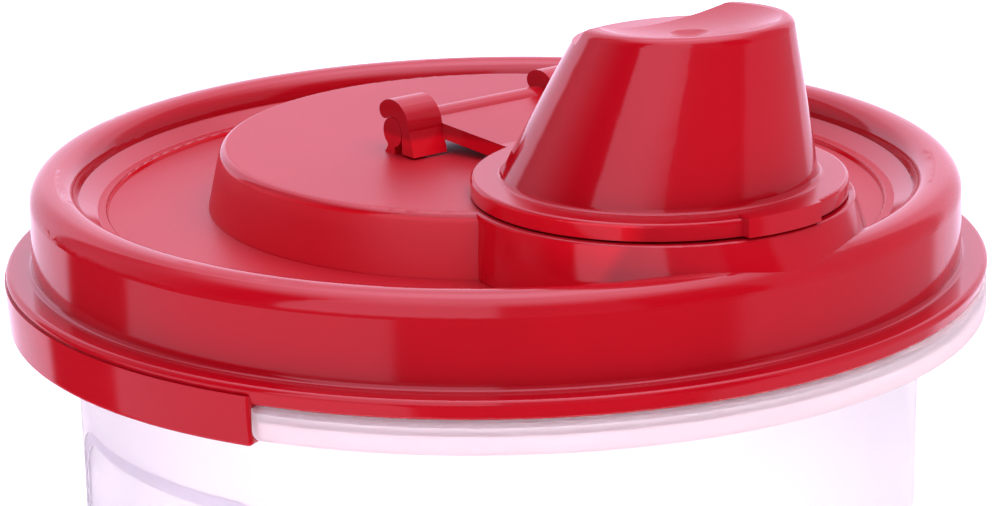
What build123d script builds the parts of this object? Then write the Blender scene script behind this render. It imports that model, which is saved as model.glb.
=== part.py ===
from build123d import *
import os
from math import cos, radians, sin, sqrt, tan

# Round pouring canister with a press-on lid and a hinged flip cap over a pour nozzle.
# Millimetres. The origin is the centre of the base, +Z is up, the spout is towards -Y
# and the cap's hinge runs along X.

# ---- driving dimensions ----
seam = 150.0                # height of the front skirt's lower edge
gap = 0.3                   # clearance between separate pieces

wall = 1.8                  # canister
body_top_radius = 56.4
body_base_radius = 54.4
base_thickness = 2.2
base_corner = 4.0
foot_radius = 49.0          # inside of the standing ring
foot_height = 1.6
neck_height = seam - 6.5    # where the body starts to flare out under the ledge
neck_radius = 60.0
mouth_outer = 59.4          # mouth wall that plugs into the lid's channel
mouth_inner = 57.65
mouth_top = seam + 9.5
ledge_top = seam - gap
ledge_thickness = 1.9
ledge_radius = 62.35
lip_radius = 65.2           # down-turned lip at the front of the ledge
lip_wall = 1.7
lip_depth = 4.3
lip_corner = 1.2
lip_round = 0.45
front_half_angle = 64.3     # half of the arc with the lip and the shallow skirt
spout_angle = -90.0

grip_width = 51.0           # grip recess on each side of the body
grip_height = 78.0
grip_top = seam - 16.5
grip_corner = 9.0
grip_step = 1.9             # width of the shallow border round the recess
grip_border_depth = 0.3
grip_depth = 0.6

rim_radius = 65.5           # lid flange
rim_foot_radius = 64.7
rim_height = 2.7
rim_round = 0.7
deep_skirt = 5.3            # depth of the rear skirt below the seam
skirt_wall = 2.0
crown_radius = 61.75        # rolled crown
crown_inner = 55.3
crown_top = seam + 14.5
crown_roll = 3.0
crown_inner_foot = seam + 11.4
channel_outer = 59.75       # channel that takes the canister's mouth wall
channel_inner = 57.3
channel_top = seam + 12.4
plug_inner = 55.5
plug_bottom = seam - 0.6
floor_top = seam + 9.5
floor_wall = 2.0
floor_edge_radius = 52.8
step_radius = 51.4
step_height = 0.6

platform_top = seam + 17.7
platform_radius = 36.4
platform_foot_radius = 38.3
platform_round = 1.3

spout_y = -34.46            # boss and nozzle
boss_radius = 24.65
boss_waist_radius = 25.2    # part way down, where the front swells over the crown
boss_waist_front = 60.95
boss_waist_height = seam + 13.7
boss_foot_radius = 25.6
boss_foot_front = 61.7
boss_swell_height = seam + 10.6
boss_round = 0.35
boss_sink = 0.6             # overlap of the boss and platform with the floor
nozzle_base_radius = 15.5
nozzle_top_radius = 9.6
nozzle_shift = 3.6
nozzle_height = 11.0
nozzle_wall = 1.4
nozzle_cut = 10.0

flange_bottom = platform_top + gap      # cap
flange_top = seam + 20.2
flange_radius = 23.87
hood_base_radius = 20.1
hood_top_radius = 12.95
hood_shift = 6.07           # the hood's top lies this far in front of its base
hood_height = 21.2         # height at which the hood would have its top radius
hood_wall = 1.8
hood_top = seam + 41.0      # height of the middle of the sloping top
hood_slope = 3.3            # the top rises towards the front
hood_round = 1.2
hood_foot_round = 0.8
dish_radius = 11.5          # shallow dish in the top
dish_depth = 1.8
dimple_radius = 2.4         # moulding gate's dimple in the dish
dimple_depth = 0.5
heel_chord = 5.2            # the lowered heel starts this far behind the top's centre
heel_drop = 2.2
heel_run = 1.6
heel_reach = 12.5
heel_fall = 0.9             # the heel's top falls this much over its reach
hood_ceiling = seam + 37.2
heel_ceiling = seam + 36.0
tab_half_width = 5.8        # thumb tab on the front of the flange
tab_proud = 1.1
tab_top = seam + 20.5

hinge_y = 2.4               # clip hinge
hinge_z = seam + 20.6
rod_radius = 2.0
rod_near = 9.9              # the rods lie in this range of |x|
hook_near = 9.5             # and the hooks in this one
hook_far = 14.9
hook_bore = 2.07
hook_radius = 3.7
hook_rise = 0.7             # the hook's outer round is centred this far above the axis
hook_tip_angle = 57.0       # measured from +Y, up and over towards the front
leg_foot = 4.7              # the leg's foot stands this far in front of the axis
web_front = -0.4            # the rod's web, from the hinge axis
web_back = 1.1
web_foot = 2.2
flap_half_width = 7.1
flap_end_half_width = 9.6
flap_thickness = 2.1
flap_rise = 1.9             # height of the flap's top over the flange where it meets the ridge
ridge_radius = 2.25


def radial_plane(angle):
    """Upright plane through the axis; its x direction points outwards at this angle."""
    a = radians(angle)
    return Plane(origin=(0, 0, 0), x_dir=(cos(a), sin(a), 0), z_dir=(sin(a), -cos(a), 0))


def hood_radius(height, inset=0.0):
    """Radius of the oblique hood at a height above its foot."""
    return hood_base_radius + (hood_top_radius - hood_base_radius) * height / hood_height - inset


def hood_centre(height):
    """Y of the oblique hood's centre at a height above its foot."""
    return spout_y - hood_shift * height / hood_height


def sphere_radius(cap_radius, cap_height):
    """Radius of the sphere that cuts a cap of this radius and height."""
    return (cap_radius**2 + cap_height**2) / (2 * cap_height)


# ---- canister ----
with BuildPart() as front_lip:
    with BuildSketch(radial_plane(spout_angle - front_half_angle)):
        with BuildLine():
            Polyline(
                (ledge_radius - 1.5, ledge_top),
                (lip_radius, ledge_top),
                (lip_radius, seam - lip_depth),
                (lip_radius - lip_wall, seam - lip_depth),
                (lip_radius - lip_wall, ledge_top - ledge_thickness),
                (ledge_radius - 1.5, ledge_top - ledge_thickness),
                close=True,
            )
        make_face()
    revolve(axis=Axis.Z, revolution_arc=2 * front_half_angle)
    lip_ends = front_lip.faces().filter_by(GeomType.PLANE).filter_by(Axis.Z, reverse=True)
    end_feet = lip_ends.edges().filter_by(GeomType.LINE).group_by(Axis.Z)[0]
    fillet(end_feet, lip_corner)
    lip_edges = front_lip.edges().filter_by(GeomType.CIRCLE)
    fillet(lip_edges.filter_by(lambda e: abs(e.radius - lip_radius) < 0.01), lip_round)

with BuildPart() as grip_cutter:
    with BuildSketch(Plane.YZ.offset(body_base_radius - 14)):
        with Locations((0, grip_top - grip_height / 2)):
            RectangleRounded(grip_width, grip_height, grip_corner)
    extrude(amount=20)
    with BuildSketch(Plane.XZ):
        with BuildLine():
            Polyline(
                (body_base_radius - grip_border_depth, 0),
                (body_base_radius + 8, 0),
                (body_top_radius + 8, neck_height),
                (body_top_radius - grip_border_depth, neck_height),
                close=True,
            )
        make_face()
    revolve(axis=Axis.Z, mode=Mode.INTERSECT)

with BuildPart() as grip_floor_cutter:
    with BuildSketch(Plane.YZ.offset(body_base_radius - 14)):
        with Locations((0, grip_top - grip_height / 2)):
            RectangleRounded(
                grip_width - 2 * grip_step, grip_height - 2 * grip_step, grip_corner - grip_step
            )
    extrude(amount=20)
    with BuildSketch(Plane.XZ):
        with BuildLine():
            Polyline(
                (body_base_radius - grip_depth, 0),
                (body_base_radius + 8, 0),
                (body_top_radius + 8, neck_height),
                (body_top_radius - grip_depth, neck_height),
                close=True,
            )
        make_face()
    revolve(axis=Axis.Z, mode=Mode.INTERSECT)

with BuildPart() as canister:
    with BuildSketch(Plane.XZ):
        with BuildLine():
            FilletPolyline(
                (0, 0),
                (body_base_radius, 0),
                (body_top_radius, neck_height),
                (neck_radius, ledge_top - ledge_thickness),
                (ledge_radius, ledge_top - ledge_thickness),
                (ledge_radius, ledge_top),
                (mouth_outer, ledge_top),
                (mouth_outer, mouth_top),
                (mouth_inner, mouth_top),
                (mouth_inner, seam - 1.5),
                (body_top_radius - wall, neck_height - 0.5),
                (body_base_radius - wall, foot_height + base_thickness),
                (0, foot_height + base_thickness),
                radius=[0, base_corner, 2.0, 0, 0.3, 0.3, 0.5, 0.6, 0.6, 1.0, 2.0, base_corner, 0],
                close=True,
            )
        make_face()
    revolve(axis=Axis.Z)
    with BuildSketch(Plane.XY):
        Circle(foot_radius)
    extrude(amount=foot_height, mode=Mode.SUBTRACT)
    add(front_lip.part)
    for turn in (0, 180):
        add(grip_cutter.part, rotation=(0, 0, turn), mode=Mode.SUBTRACT)
        add(grip_floor_cutter.part, rotation=(0, 0, turn), mode=Mode.SUBTRACT)

# ---- lid ----
with BuildPart() as rear_skirt:
    with BuildSketch(radial_plane(spout_angle + front_half_angle)):
        with BuildLine():
            Polyline(
                (rim_foot_radius - skirt_wall, seam - deep_skirt),
                (rim_foot_radius + 0.3, seam - deep_skirt),
                (rim_radius, seam + rim_height / 2),
                (rim_foot_radius - skirt_wall, seam + rim_height / 2),
                close=True,
            )
        make_face()
    revolve(axis=Axis.Z, revolution_arc=360 - 2 * front_half_angle)
    skirt_ends = rear_skirt.faces().filter_by(GeomType.PLANE).filter_by(Axis.Z, reverse=True)
    skirt_feet = skirt_ends.edges().filter_by(GeomType.LINE).group_by(Axis.Z)[0]
    fillet(skirt_feet, 0.8)
    skirt_edges = rear_skirt.edges().filter_by(GeomType.CIRCLE).group_by(Axis.Z)[0]
    fillet(skirt_edges.sort_by(SortBy.RADIUS)[-1], 0.6)

with BuildPart() as platform_pocket:
    with BuildSketch(Plane.XZ):
        with BuildLine():
            Polyline(
                (0, floor_top - floor_wall - 1),
                (platform_foot_radius - floor_wall, floor_top - floor_wall - 1),
                (platform_radius - floor_wall, platform_top - floor_wall),
                (0, platform_top - floor_wall),
                close=True,
            )
        make_face()
    revolve(axis=Axis.Z)

with BuildPart() as boss_pocket:
    with BuildSketch(Plane.XY.offset(floor_top - floor_wall - 1)):
        with Locations((0, spout_y)):
            Circle(boss_radius - floor_wall)
        Circle(plug_inner, mode=Mode.INTERSECT)
    extrude(amount=platform_top - floor_top + 1)

with BuildPart() as nozzle:
    with BuildSketch(Plane.XY.offset(platform_top - boss_sink)):
        with Locations((0, spout_y)):
            Circle(nozzle_base_radius)
    with BuildSketch(Plane.XY.offset(platform_top + nozzle_height)):
        with Locations((0, spout_y - nozzle_shift)):
            Circle(nozzle_top_radius)
    loft()
    nozzle_mouth = Plane((0, spout_y - nozzle_shift, platform_top + nozzle_height - 2.0))
    split(bisect_by=nozzle_mouth.rotated((-nozzle_cut, 0, 0)), keep=Keep.BOTTOM)

with BuildPart() as nozzle_bore:
    with BuildSketch(Plane.XY.offset(platform_top - floor_wall - 1)):
        with Locations((0, spout_y)):
            Circle(nozzle_base_radius - nozzle_wall)
    with BuildSketch(Plane.XY.offset(platform_top + nozzle_height + 1)):
        with Locations((0, spout_y - nozzle_shift)):
            Circle(nozzle_top_radius - nozzle_wall)
    loft()

with BuildPart() as boss:
    boss_sections = [
        (floor_top - boss_sink, boss_foot_radius, boss_foot_front),
        (boss_swell_height, boss_foot_radius, boss_foot_front),
        (boss_waist_height, boss_waist_radius, boss_waist_front),
        (platform_top, boss_radius, boss_radius - spout_y),
    ]
    for height, radius, front in boss_sections:
        with BuildSketch(Plane.XY.offset(height)):
            with Locations((0, radius - front)):
                Circle(radius)
    loft()
    fillet(boss.edges().group_by(Axis.Z)[-1], boss_round)

with BuildPart() as channel_cutter:
    with BuildSketch(Plane.XZ):
        with BuildLine():
            FilletPolyline(
                (channel_inner, seam - 1),
                (channel_outer, seam - 1),
                (channel_outer, channel_top),
                (channel_inner, channel_top),
                radius=[0, 0, 0.8, 0.8],
                close=True,
            )
        make_face()
    revolve(axis=Axis.Z)

with BuildPart() as lid:
    with BuildSketch(Plane.XZ):
        with BuildLine():
            FilletPolyline(
                (0, floor_top),
                (step_radius, floor_top),
                (step_radius + 0.2, floor_top + step_height),
                (floor_edge_radius, floor_top + step_height),
                (crown_inner, crown_inner_foot),
                (crown_inner, crown_top),
                (crown_radius, crown_top),
                (crown_radius, seam + rim_height),
                (rim_radius, seam + rim_height),
                (rim_foot_radius, seam),
                (channel_outer, seam),
                (channel_inner, plug_bottom),
                (plug_inner, plug_bottom),
                (plug_inner, floor_top - floor_wall),
                (0, floor_top - floor_wall),
                radius=[
                    0, 0, 0.2, 0.4, 0, crown_roll, crown_roll, 0.7, rim_round,
                    rim_round, 0, 0, 0.4, 0, 0,
                ],
                close=True,
            )
        make_face()
    revolve(axis=Axis.Z)
    add(rear_skirt.part)
    with BuildSketch(Plane.XZ):
        with BuildLine():
            FilletPolyline(
                (0, floor_top - boss_sink),
                (platform_foot_radius, floor_top - boss_sink),
                (platform_radius, platform_top),
                (0, platform_top),
                radius=[0, 0, platform_round, 0],
                close=True,
            )
        make_face()
    revolve(axis=Axis.Z)
    add(boss.part)
    add(platform_pocket.part, mode=Mode.SUBTRACT)
    add(boss_pocket.part, mode=Mode.SUBTRACT)
    add(channel_cutter.part, mode=Mode.SUBTRACT)
    add(nozzle.part)
    add(nozzle_bore.part, mode=Mode.SUBTRACT)
    # hinge rods on their webs
    for side in (-1, 1):
        with BuildSketch(Plane.YZ.offset(side * rod_near)):
            with Locations((hinge_y, hinge_z)):
                Circle(rod_radius)
            with BuildLine():
                Polyline(
                    (hinge_y + web_front, hinge_z - 0.8),
                    (hinge_y + web_back, hinge_z - 0.8),
                    (hinge_y + web_back, hinge_z - 2.0),
                    (hinge_y + web_foot, platform_top - boss_sink),
                    (hinge_y + web_front, platform_top - boss_sink),
                    close=True,
                )
            make_face()
        extrude(amount=side * (hook_far - rod_near))

# ---- flip cap ----
top_y = hood_centre(hood_top - flange_top)
top_plane = Plane((0, top_y, hood_top)).rotated((-hood_slope, 0, 0))
chord_y = top_y + heel_chord
chord_z = hood_top - heel_chord * tan(radians(hood_slope))
dish_ball = sphere_radius(dish_radius, dish_depth)
dimple_ball = sphere_radius(dimple_radius, dimple_depth)

with BuildPart() as heel_cutter:
    with BuildSketch(Plane.YZ.offset(-hood_base_radius)):
        with BuildLine():
            Polyline(
                (chord_y, chord_z),
                (chord_y + heel_run, chord_z - heel_drop),
                (chord_y + heel_reach, chord_z - heel_drop - heel_fall),
                (chord_y + heel_reach, chord_z + 4),
                (chord_y, chord_z + 4),
                close=True,
            )
        make_face()
    extrude(amount=2 * hood_base_radius)

with BuildPart() as hood:
    for height in (-1.0, hood_height + 3.0):
        with BuildSketch(Plane.XY.offset(flange_top + height)):
            with Locations((0, hood_centre(height))):
                Circle(hood_radius(height))
    loft()
    split(bisect_by=top_plane, keep=Keep.BOTTOM)
    add(heel_cutter.part, mode=Mode.SUBTRACT)
    with Locations(top_plane * Location((0, 0, dish_ball - dish_depth))):
        Sphere(dish_ball, mode=Mode.SUBTRACT)
    with Locations(top_plane * Location((0, 0, dimple_ball - dimple_depth - dish_depth))):
        Sphere(dimple_ball, mode=Mode.SUBTRACT)
    brim = hood.edges().filter_by_position(Axis.Z, chord_z, chord_z + 4).filter_by(GeomType.BSPLINE)
    fillet(brim.filter_by(lambda e: e.length > hood_top_radius / 2), hood_round)

with BuildPart() as hood_hollow:
    inner_base = flange_bottom - flange_top - 1
    inner_height = hood_ceiling - flange_top
    with BuildSketch(Plane.XY.offset(flange_bottom - 1)):
        with Locations((0, hood_centre(inner_base))):
            Circle(hood_radius(inner_base, hood_wall))
    with BuildSketch(Plane.XY.offset(hood_ceiling)):
        with Locations((0, hood_centre(inner_height))):
            Circle(hood_radius(inner_height, hood_wall))
    loft()
    with BuildSketch(Plane.XY.offset(heel_ceiling)):
        with Locations((0, chord_y - hood_wall)):
            Rectangle(3 * hood_top_radius, 30, align=(Align.CENTER, Align.MIN))
    extrude(amount=10, mode=Mode.SUBTRACT)

with BuildPart() as flap:
    flap_start = spout_y + hood_base_radius
    flap_foot = spout_y + flange_radius
    with BuildSketch(Plane.YZ.offset(-hook_far)):
        with BuildLine():
            Polyline(
                (flap_start, flange_top),
                (flap_foot, flange_top),
                (hinge_y - 1.5, flange_top + flap_rise),
                (hinge_y - 1.5, flange_top + flap_rise - flap_thickness),
                (flap_foot, flange_top - flap_thickness),
                (flap_start, flange_top - flap_thickness),
                close=True,
            )
        make_face()
        with Locations((hinge_y, hinge_z)):
            Circle(ridge_radius)
    extrude(amount=2 * hook_far)
    with BuildSketch(Plane.XY.offset(flange_bottom)):
        with BuildLine():
            Polyline(
                (-flap_half_width, flap_start),
                (flap_half_width, flap_start),
                (flap_half_width, flap_foot),
                (flap_end_half_width, hinge_y - 4),
                (flap_end_half_width, hinge_y + 4),
                (-flap_end_half_width, hinge_y + 4),
                (-flap_end_half_width, hinge_y - 4),
                (-flap_half_width, flap_foot),
                close=True,
            )
        make_face()
    extrude(amount=10, mode=Mode.INTERSECT)

with BuildPart() as hook:
    with BuildSketch(Plane.YZ.offset(hook_near)):
        with Locations((hinge_y, hinge_z + hook_rise)):
            Circle(hook_radius)
        with BuildLine():
            tip = radians(hook_tip_angle)
            tip_outer = hook_rise * sin(tip) + sqrt(hook_radius**2 - (hook_rise * cos(tip)) ** 2)
            Polyline(
                (hinge_y, hinge_z),
                (hinge_y + 8 * cos(tip), hinge_z + 8 * sin(tip)),
                (hinge_y + 12, hinge_z + 8),
                (hinge_y + 12, hinge_z - 8),
                (hinge_y, hinge_z - 8),
                close=True,
            )
        make_face(mode=Mode.SUBTRACT)
        with BuildLine():
            Polyline(
                (hinge_y - hook_radius, hinge_z + hook_rise),
                (hinge_y - hook_bore, hinge_z + hook_rise),
                (hinge_y - hook_bore, flange_bottom),
                (hinge_y - leg_foot, flange_bottom),
                close=True,
            )
        make_face()
        tip_reach = (tip_outer + hook_bore) / 2
        with Locations((hinge_y + tip_reach * cos(tip), hinge_z + tip_reach * sin(tip))):
            Circle(tip_outer - tip_reach)
        with Locations((hinge_y, flange_bottom)):
            Rectangle(4 * hook_bore, 10, align=(Align.CENTER, Align.MAX), mode=Mode.SUBTRACT)
        with Locations((hinge_y, hinge_z)):
            Circle(hook_bore, mode=Mode.SUBTRACT)
        with Locations((hinge_y, flange_bottom)):
            Rectangle(
                2 * hook_bore, hinge_z - flange_bottom, align=(Align.CENTER, Align.MIN),
                mode=Mode.SUBTRACT,
            )
    extrude(amount=hook_far - hook_near)

with BuildPart() as flip_cap:
    with BuildSketch(Plane.XY.offset(flange_bottom)):
        with Locations((0, spout_y)):
            Circle(flange_radius)
    extrude(amount=flange_top - flange_bottom)
    fillet(flip_cap.edges().group_by(Axis.Z)[-1], 0.5)
    add(hood.part)
    hood_foot = flip_cap.edges().filter_by_position(Axis.Z, flange_top - 0.01, flange_top + 0.01)
    fillet(hood_foot.sort_by(Edge.length)[0], hood_foot_round)
    add(hood_hollow.part, mode=Mode.SUBTRACT)
    add(flap.part)
    add(hook.part)
    mirror(hook.part, about=Plane.YZ)
    # thumb tab
    with BuildSketch(Plane.XY.offset(flange_bottom)):
        with Locations((0, spout_y)):
            Circle(flange_radius + tab_proud)
            Circle(flange_radius - 0.8, mode=Mode.SUBTRACT)
        with Locations((0, spout_y - flange_radius)):
            Rectangle(2 * tab_half_width, 8, mode=Mode.INTERSECT)
    extrude(amount=tab_top - flange_bottom)

pieces = {"canister": canister.part, "lid": lid.part, "flip_cap": flip_cap.part}
canister.part.label = "canister"
lid.part.label = "lid"
flip_cap.part.label = "flip_cap"

os.makedirs("parts", exist_ok=True)
export_step(canister.part, "parts/canister.step")
export_step(lid.part, "parts/lid.step")
export_step(flip_cap.part, "parts/flip_cap.step")
for name, part in pieces.items():
    print(name, round(part.volume / 1000, 1), "cm3", part.is_valid, len(part.solids()))
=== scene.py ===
from math import cos, pi, radians, sin

import bmesh
import bpy
from mathutils import Matrix, Vector


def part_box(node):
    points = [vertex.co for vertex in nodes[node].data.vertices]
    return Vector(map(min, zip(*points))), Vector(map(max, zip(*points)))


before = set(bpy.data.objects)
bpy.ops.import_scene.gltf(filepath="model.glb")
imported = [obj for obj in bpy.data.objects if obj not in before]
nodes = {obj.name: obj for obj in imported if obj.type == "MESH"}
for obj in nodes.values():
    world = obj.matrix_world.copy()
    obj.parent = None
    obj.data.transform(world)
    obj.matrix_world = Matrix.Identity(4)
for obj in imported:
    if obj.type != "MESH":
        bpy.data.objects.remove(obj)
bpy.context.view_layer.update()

cap_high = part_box("flip_cap")[1]

MM = 0.001
SEAM = 150.0 * MM                   # height of the front skirt's lower edge
FLOOR_TOP = SEAM + 9.5 * MM         # the lid's round floor
FLOOR_RADIUS = 53.2 * MM
PLATFORM_TOP = SEAM + 17.7 * MM
PLATFORM_RADIUS = 36.4 * MM
PLATFORM_FOOT_RADIUS = 38.3 * MM
FLANGE_TOP = SEAM + 20.2 * MM
LEDGE_RADIUS = 62.35 * MM
LIP_DEPTH = 4.3 * MM
GRIP_HALF_WIDTH = 25.5 * MM         # grip recess on each side of the canister
GRIP_HALF_HEIGHT = 39 * MM
GRIP_MIDDLE = SEAM - 55.5 * MM
GRIP_CORNER = 9 * MM
GRIP_STEP = 1.9 * MM
GRIP_REACH = 59.5 * MM              # the recess lies nearer to the axis than this


# ---- shader maths ----
class Wire:
    """One output socket. Sums, products and powers of wires and numbers add Math nodes."""

    def __init__(self, tree, socket):
        self.tree = tree
        self.socket = socket

    def math(self, operation, *others):
        """A Math node on this wire and, after it, the others."""
        return add_node(
            self.tree, "ShaderNodeMath", {"operation": operation}, (self, *others)
        )[0]

    def __add__(self, other):
        return self.math("ADD", other)

    def __sub__(self, other):
        return self.math("SUBTRACT", other)

    def __rsub__(self, other):
        return self.math("MULTIPLY_ADD", -1, other)     # this wire times -1, plus the other

    def __mul__(self, other):
        return self.math("MULTIPLY", other)

    def __pow__(self, other):
        return self.math("POWER", other)

    __radd__ = __add__
    __rmul__ = __mul__

    def step(self, start, end):
        """0 before start, 1 after end, and smooth between them."""
        settings = {"interpolation_type": "SMOOTHSTEP"}
        values = {"Value": self, "From Min": start, "From Max": end}
        return add_node(self.tree, "ShaderNodeMapRange", settings, values)[0]

    def within(self, low, high, soft):
        """1 between low and high, falling to 0 over the soft width on each side."""
        return self.step(low - soft, low + soft) * (1 - self.step(high - soft, high + soft))


def add_node(tree, kind, settings=None, values=()):
    """Adds a node, sets it up, fills its sockets and returns its outputs as wires. The
    values are a dict by socket name or number, or a row in the sockets' order."""
    node = tree.nodes.new(kind)
    for name, setting in (settings or {}).items():
        setattr(node, name, setting)
    named = values.items() if isinstance(values, dict) else enumerate(values)
    for name, value in named:
        if isinstance(value, Wire):
            tree.links.new(value.socket, node.inputs[name])
        else:
            node.inputs[name].default_value = value
    return [Wire(tree, output) for output in node.outputs]


# numbers of a Mix node's colour sockets, because its other sockets have the same names
MIX_AMOUNT, MIX_FIRST, MIX_SECOND = 0, 6, 7
MIX_RESULT = 2


def blend_colours(tree, amount, first, second):
    """first where amount is 0 and second where it is 1."""
    values = {MIX_AMOUNT: amount, MIX_FIRST: first, MIX_SECOND: second}
    return add_node(tree, "ShaderNodeMix", {"data_type": "RGBA"}, values)[MIX_RESULT]


def new_material(name):
    """An empty material and its node tree."""
    material = bpy.data.materials.new(name)
    material.use_nodes = True
    material.node_tree.nodes.clear()
    return material, material.node_tree


def object_place(tree):
    """Wires of the place on the object, its y and z, its distance from the axis and how
    far the surface faces up."""
    _, facing, _, place, *_ = add_node(tree, "ShaderNodeTexCoord")
    x, y, z = add_node(tree, "ShaderNodeSeparateXYZ", None, [place])
    facing_z = add_node(tree, "ShaderNodeSeparateXYZ", None, [facing])[2]
    return place, y, z, (x * x + y * y) ** 0.5, facing_z


def noise(tree, place, size, detail):
    """Noise whose lumps are about this wide, in metres."""
    values = {"Vector": place, "Scale": 1 / size, "Detail": detail}
    return add_node(tree, "ShaderNodeTexNoise", None, values)[0]


def add_bump(tree, height, strength, distance):
    """The surface direction after bumps of this height."""
    values = {"Strength": strength, "Distance": distance, "Height": height}
    return add_node(tree, "ShaderNodeBump", None, values)[0]


# ---- finishes ----
RED = (0.35, 0.0024, 0.0082, 1.0)
DEEP_RED = (0.325, 0.002, 0.0072, 1.0)
# painted light: a brighter red for the walls inside the crown
PAINTED_GLOW_RED = (0.56, 0.003, 0.011, 1.0)
MILKY = (1.0, 0.99, 1.0, 1.0)
DEEP_MILKY = (0.99, 0.975, 0.995, 1.0)
# painted light: the red lid's glow on the canister's lip
PAINTED_LIP_GLOW = (0.93, 0.80, 0.80, 1.0)
# painted shade round the grip recesses
PAINTED_GRIP_SHADE = (0.72, 0.68, 0.77, 1.0)
GLOSS = 0.09                        # roughness of the red plastic outside its satin parts
FROST = 0.36                        # and of the canister
LID_SATIN = 0.28                    # what the satin texture adds to the roughness
CAP_SATIN = 0.12
WHOLE_CAP = 90 * MM                 # farther from the axis than any part of the cap


def red_plastic(name, satin_low, satin_high, satin_reach, satin_rough):
    """Glossy red plastic. Flat faces that look up, from satin_low to satin_high in height
    and within satin_reach of the axis, have the mould's fine satin texture, and so has the
    platform's side."""
    material, tree = new_material(name)
    place, _, z, reach, facing_z = object_place(tree)
    cloud = noise(tree, place, 22 * MM, 2.0)
    grain = noise(tree, place, 0.35 * MM, 3.0)
    flow = noise(tree, place, 9 * MM, 1.0)

    flat = facing_z.step(0.93, 0.985)
    satin = flat * (1 - reach.step(satin_reach - 0.4 * MM, satin_reach + 0.4 * MM))
    satin = satin * z.within(satin_low, satin_high, 0.2 * MM)
    platform_side = reach.within(
        PLATFORM_RADIUS - 0.8 * MM, PLATFORM_FOOT_RADIUS + 0.4 * MM, 0.2 * MM
    )
    platform_side = platform_side * z.within(FLOOR_TOP, PLATFORM_TOP - 1 * MM, 0.4 * MM)
    satin = satin.math("MAXIMUM", platform_side)

    # painted light: the upright walls inside the crown get a brighter red, standing in for
    # light that comes through the thin walls and bounces between them
    upright = 1 - facing_z.step(0.3, 0.7)
    inside_crown = 1 - reach.step(FLOOR_RADIUS, FLOOR_RADIUS + 1.5 * MM)
    painted_glow_wall = upright * inside_crown * z.within(FLOOR_TOP, FLANGE_TOP, 0.5 * MM)
    colour = blend_colours(tree, cloud.step(0.3, 0.7), RED, DEEP_RED)
    colour = blend_colours(tree, painted_glow_wall, colour, PAINTED_GLOW_RED)

    rough = GLOSS + 0.03 * cloud + satin * (satin_rough + 0.06 * grain)
    normal = add_bump(tree, flow * 0.035 + satin * grain * 0.05, 0.35, 0.3 * MM)
    shader = add_node(
        tree, "ShaderNodeBsdfPrincipled", None,
        {"Base Color": colour, "Roughness": rough, "Normal": normal, "IOR": 1.5},
    )
    add_node(tree, "ShaderNodeOutputMaterial", None, {"Surface": shader[0]})
    return material


def grip_shoulder_shade_mask(y, z, reach):
    """1 on the sloping shoulder round each grip recess, where the painted shade goes, from
    the distance to a rounded rectangle on the canister's side."""
    across = y.math("ABSOLUTE") - (GRIP_HALF_WIDTH - GRIP_CORNER)
    upward = (z - GRIP_MIDDLE).math("ABSOLUTE") - (GRIP_HALF_HEIGHT - GRIP_CORNER)
    across_out = across.math("MAXIMUM", 0)
    upward_out = upward.math("MAXIMUM", 0)
    outside = (across_out * across_out + upward_out * upward_out) ** 0.5
    inside = across.math("MAXIMUM", upward).math("MINIMUM", 0)
    edge = outside + inside - GRIP_CORNER
    nearer = 1 - reach.step(GRIP_REACH - 0.5 * MM, GRIP_REACH + 0.5 * MM)
    return edge.within(-GRIP_STEP, 0, 0.3 * MM) * nearer


def frosted_plastic():
    """Translucent milky plastic with a fine frost."""
    material, tree = new_material("frosted_plastic")
    place, y, z, reach, _ = object_place(tree)
    cloud = noise(tree, place, 16 * MM, 2.0)
    frost = noise(tree, place, 0.8 * MM, 3.0)
    colour = blend_colours(tree, cloud.step(0.3, 0.7), MILKY, DEEP_MILKY)
    # painted light: the lip under the lid is tinted warm, standing in for the red lid's
    # light seen through it
    painted_lip_glow_mask = reach.step(LEDGE_RADIUS + 0.4 * MM, LEDGE_RADIUS + 1 * MM)
    painted_lip_glow_mask = painted_lip_glow_mask * z.within(SEAM - LIP_DEPTH, SEAM, 0.2 * MM)
    colour = blend_colours(tree, painted_lip_glow_mask, colour, PAINTED_LIP_GLOW)
    # painted shade: the sloping shoulder round each grip recess is greyed, standing in for
    # the shade of the moulded step
    colour = blend_colours(tree, 0.85 * grip_shoulder_shade_mask(y, z, reach), colour, PAINTED_GRIP_SHADE)

    rough = FROST + 0.10 * frost + 0.05 * cloud
    shader = add_node(
        tree, "ShaderNodeBsdfPrincipled", None,
        {
            "Base Color": colour, "Roughness": rough,
            "Normal": add_bump(tree, frost, 0.25, 0.1 * MM),
            "IOR": 1.49, "Transmission Weight": 0.75,
        },
    )
    add_node(tree, "ShaderNodeOutputMaterial", None, {"Surface": shader[0]})
    return material


def give(node, material):
    """Puts a finish on a piece in place of the one that it came with."""
    node.data.materials.clear()
    node.data.materials.append(material)


give(nodes["lid"], red_plastic(
    "red_plastic_lid", FLOOR_TOP - 1 * MM, PLATFORM_TOP + 1 * MM, FLOOR_RADIUS, LID_SATIN
))
give(nodes["flip_cap"], red_plastic(
    "red_plastic_cap", FLANGE_TOP - 1 * MM, cap_high.z + 1 * MM, WHOLE_CAP, CAP_SATIN
))
give(nodes["canister"], frosted_plastic())


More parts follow.
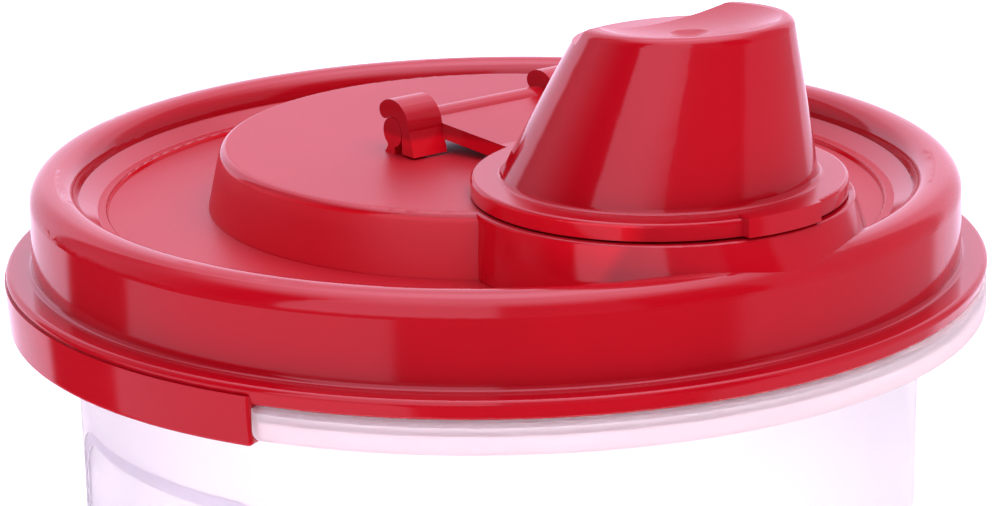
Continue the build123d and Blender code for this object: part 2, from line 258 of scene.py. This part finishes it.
# ---- studio ----
VIEW_AZIMUTH = radians(-36.87)      # the main view's direction round the object
VIEW_PITCH = radians(16.39)
VIEW_ROLL = radians(-0.94)
CAMERA_PLACE = (-0.3186, -0.4248, 0.308)
LENS = 150                          # focal length, and the sensor below, in millimetres
SENSOR_WIDTH = 36
TABLE_HALF_SIZE = 40                # in metres, so that its edge stays out of sight
TABLE_GREY = (0.86, 0.86, 0.86, 1)
TABLE_GLOW = 0.85
WHITE = (1, 1, 1, 1)
STUDIO_TINT = (1.0, 0.82, 1.08, 1)  # colour of the light from all round
DIM_LIGHT = 0.02                    # strength where no wall or soft box is
WALL_LIGHT = 1.15
FAR_WALL_LIGHT = 0.3
TOP_LIGHT = 2.5
FILL_STRENGTH = 1.6
FILL_ANGLE = radians(50)

towards_viewer = Vector((sin(VIEW_AZIMUTH), -cos(VIEW_AZIMUTH), 0))
viewer_right = Vector((cos(VIEW_AZIMUTH), sin(VIEW_AZIMUTH), 0))
straight_up = Vector((0, 0, 1))


def add_camera():
    data = bpy.data.cameras.new("camera")
    data.lens = LENS
    data.sensor_width = SENSOR_WIDTH
    camera = bpy.data.objects.new("camera", data)
    bpy.context.scene.collection.objects.link(camera)
    look = -towards_viewer * cos(VIEW_PITCH) - straight_up * sin(VIEW_PITCH)
    up = viewer_right.cross(look)
    right = viewer_right * cos(VIEW_ROLL) + up * sin(VIEW_ROLL)
    top = up * cos(VIEW_ROLL) - viewer_right * sin(VIEW_ROLL)
    turn = Matrix((right, top, -look)).transposed()
    camera.matrix_world = Matrix.Translation(CAMERA_PLACE) @ turn.to_4x4()
    bpy.context.scene.camera = camera


def add_floor():
    """A very large pale table top that glows softly."""
    mesh = bpy.data.meshes.new("studio_floor")
    shape = bmesh.new()
    bmesh.ops.create_grid(shape, x_segments=1, y_segments=1, size=TABLE_HALF_SIZE)
    shape.to_mesh(mesh)
    shape.free()
    floor = bpy.data.objects.new("studio_floor", mesh)
    bpy.context.scene.collection.objects.link(floor)
    floor.visible_glossy = False
    material, tree = new_material("studio_floor")
    shader = add_node(
        tree, "ShaderNodeBsdfPrincipled", None,
        {
            "Base Color": TABLE_GREY, "Roughness": 0.9,
            "Emission Color": WHITE, "Emission Strength": TABLE_GLOW,
        },
    )
    add_node(tree, "ShaderNodeOutputMaterial", None, {"Surface": shader[0]})
    mesh.materials.append(material)


def add_surroundings():
    """Soft boxes and pale walls round the table, as light from far away. Angles are in
    degrees: the turn is 0 towards the viewer and grows to the right, and the climb is
    0 at the horizon and 90 overhead."""
    world = bpy.data.worlds.new("studio")
    bpy.context.scene.world = world
    world.use_nodes = True
    tree = world.node_tree
    tree.nodes.clear()
    direction = add_node(tree, "ShaderNodeTexCoord")[0]

    def along(axis):
        """How far the direction goes along an axis."""
        settings = {"operation": "DOT_PRODUCT"}
        return add_node(tree, "ShaderNodeVectorMath", settings, [direction, axis])[1]

    def zone(strength, left, right, soft):
        """Light of this strength between two turns, with soft sides."""
        return strength * turn.within(left, right, soft)

    turn = along(viewer_right).math("ARCTAN2", along(towards_viewer)) * (180 / pi)
    climb = along(straight_up).math("ARCSINE") * (180 / pi)
    above = climb.step(-6, 2)
    below = 1 - above
    overhead = climb.step(40, 75)
    beside_overhead = 1 - overhead
    under_board_top = 1 - climb.step(-13, -11)

    # pale walls to the left and right behind the table, and straight behind it
    wall_left = 1 - turn.step(-131, -127)
    wall_right = turn.step(131, 139)
    straight_behind = (turn * turn).step(150 ** 2, 165 ** 2)
    walls = WALL_LIGHT * (wall_left + wall_right) + FAR_WALL_LIGHT * straight_behind
    # low: a white board to the left, a softer glow to the right
    low_board = zone(0.75, left=-101, right=-25, soft=1) * under_board_top
    low_right = zone(0.42, left=60, right=135, soft=4)
    # high: tall soft boxes
    high_left = zone(0.5, left=-128, right=-88, soft=22)
    high_main = zone(1.4, left=-53, right=0, soft=1) * beside_overhead
    high_faint = zone(0.22, left=0, right=35, soft=3) * beside_overhead
    high_right = zone(0.42, left=68, right=135, soft=3)
    strength = (
        DIM_LIGHT + walls + below * (low_board + low_right)
        + above * (high_left + high_main + high_faint + high_right) + TOP_LIGHT * overhead
    )
    background = add_node(
        tree, "ShaderNodeBackground", None, {"Color": STUDIO_TINT, "Strength": strength}
    )
    add_node(tree, "ShaderNodeOutputWorld", None, {"Surface": background[0]})


def add_fill_light():
    """A broad soft light from the upper right. It adds no highlight of its own."""
    data = bpy.data.lights.new("fill_light", "SUN")
    data.energy = FILL_STRENGTH
    data.angle = FILL_ANGLE
    light = bpy.data.objects.new("fill_light", data)
    bpy.context.scene.collection.objects.link(light)
    light.visible_glossy = False
    source = viewer_right * 0.55 + towards_viewer * 0.30 + straight_up * 0.78
    light.rotation_euler = source.to_track_quat("Z", "Y").to_euler()


add_camera()
add_floor()
add_surroundings()
add_fill_light()
bpy.context.scene.view_settings.view_transform = "Standard"
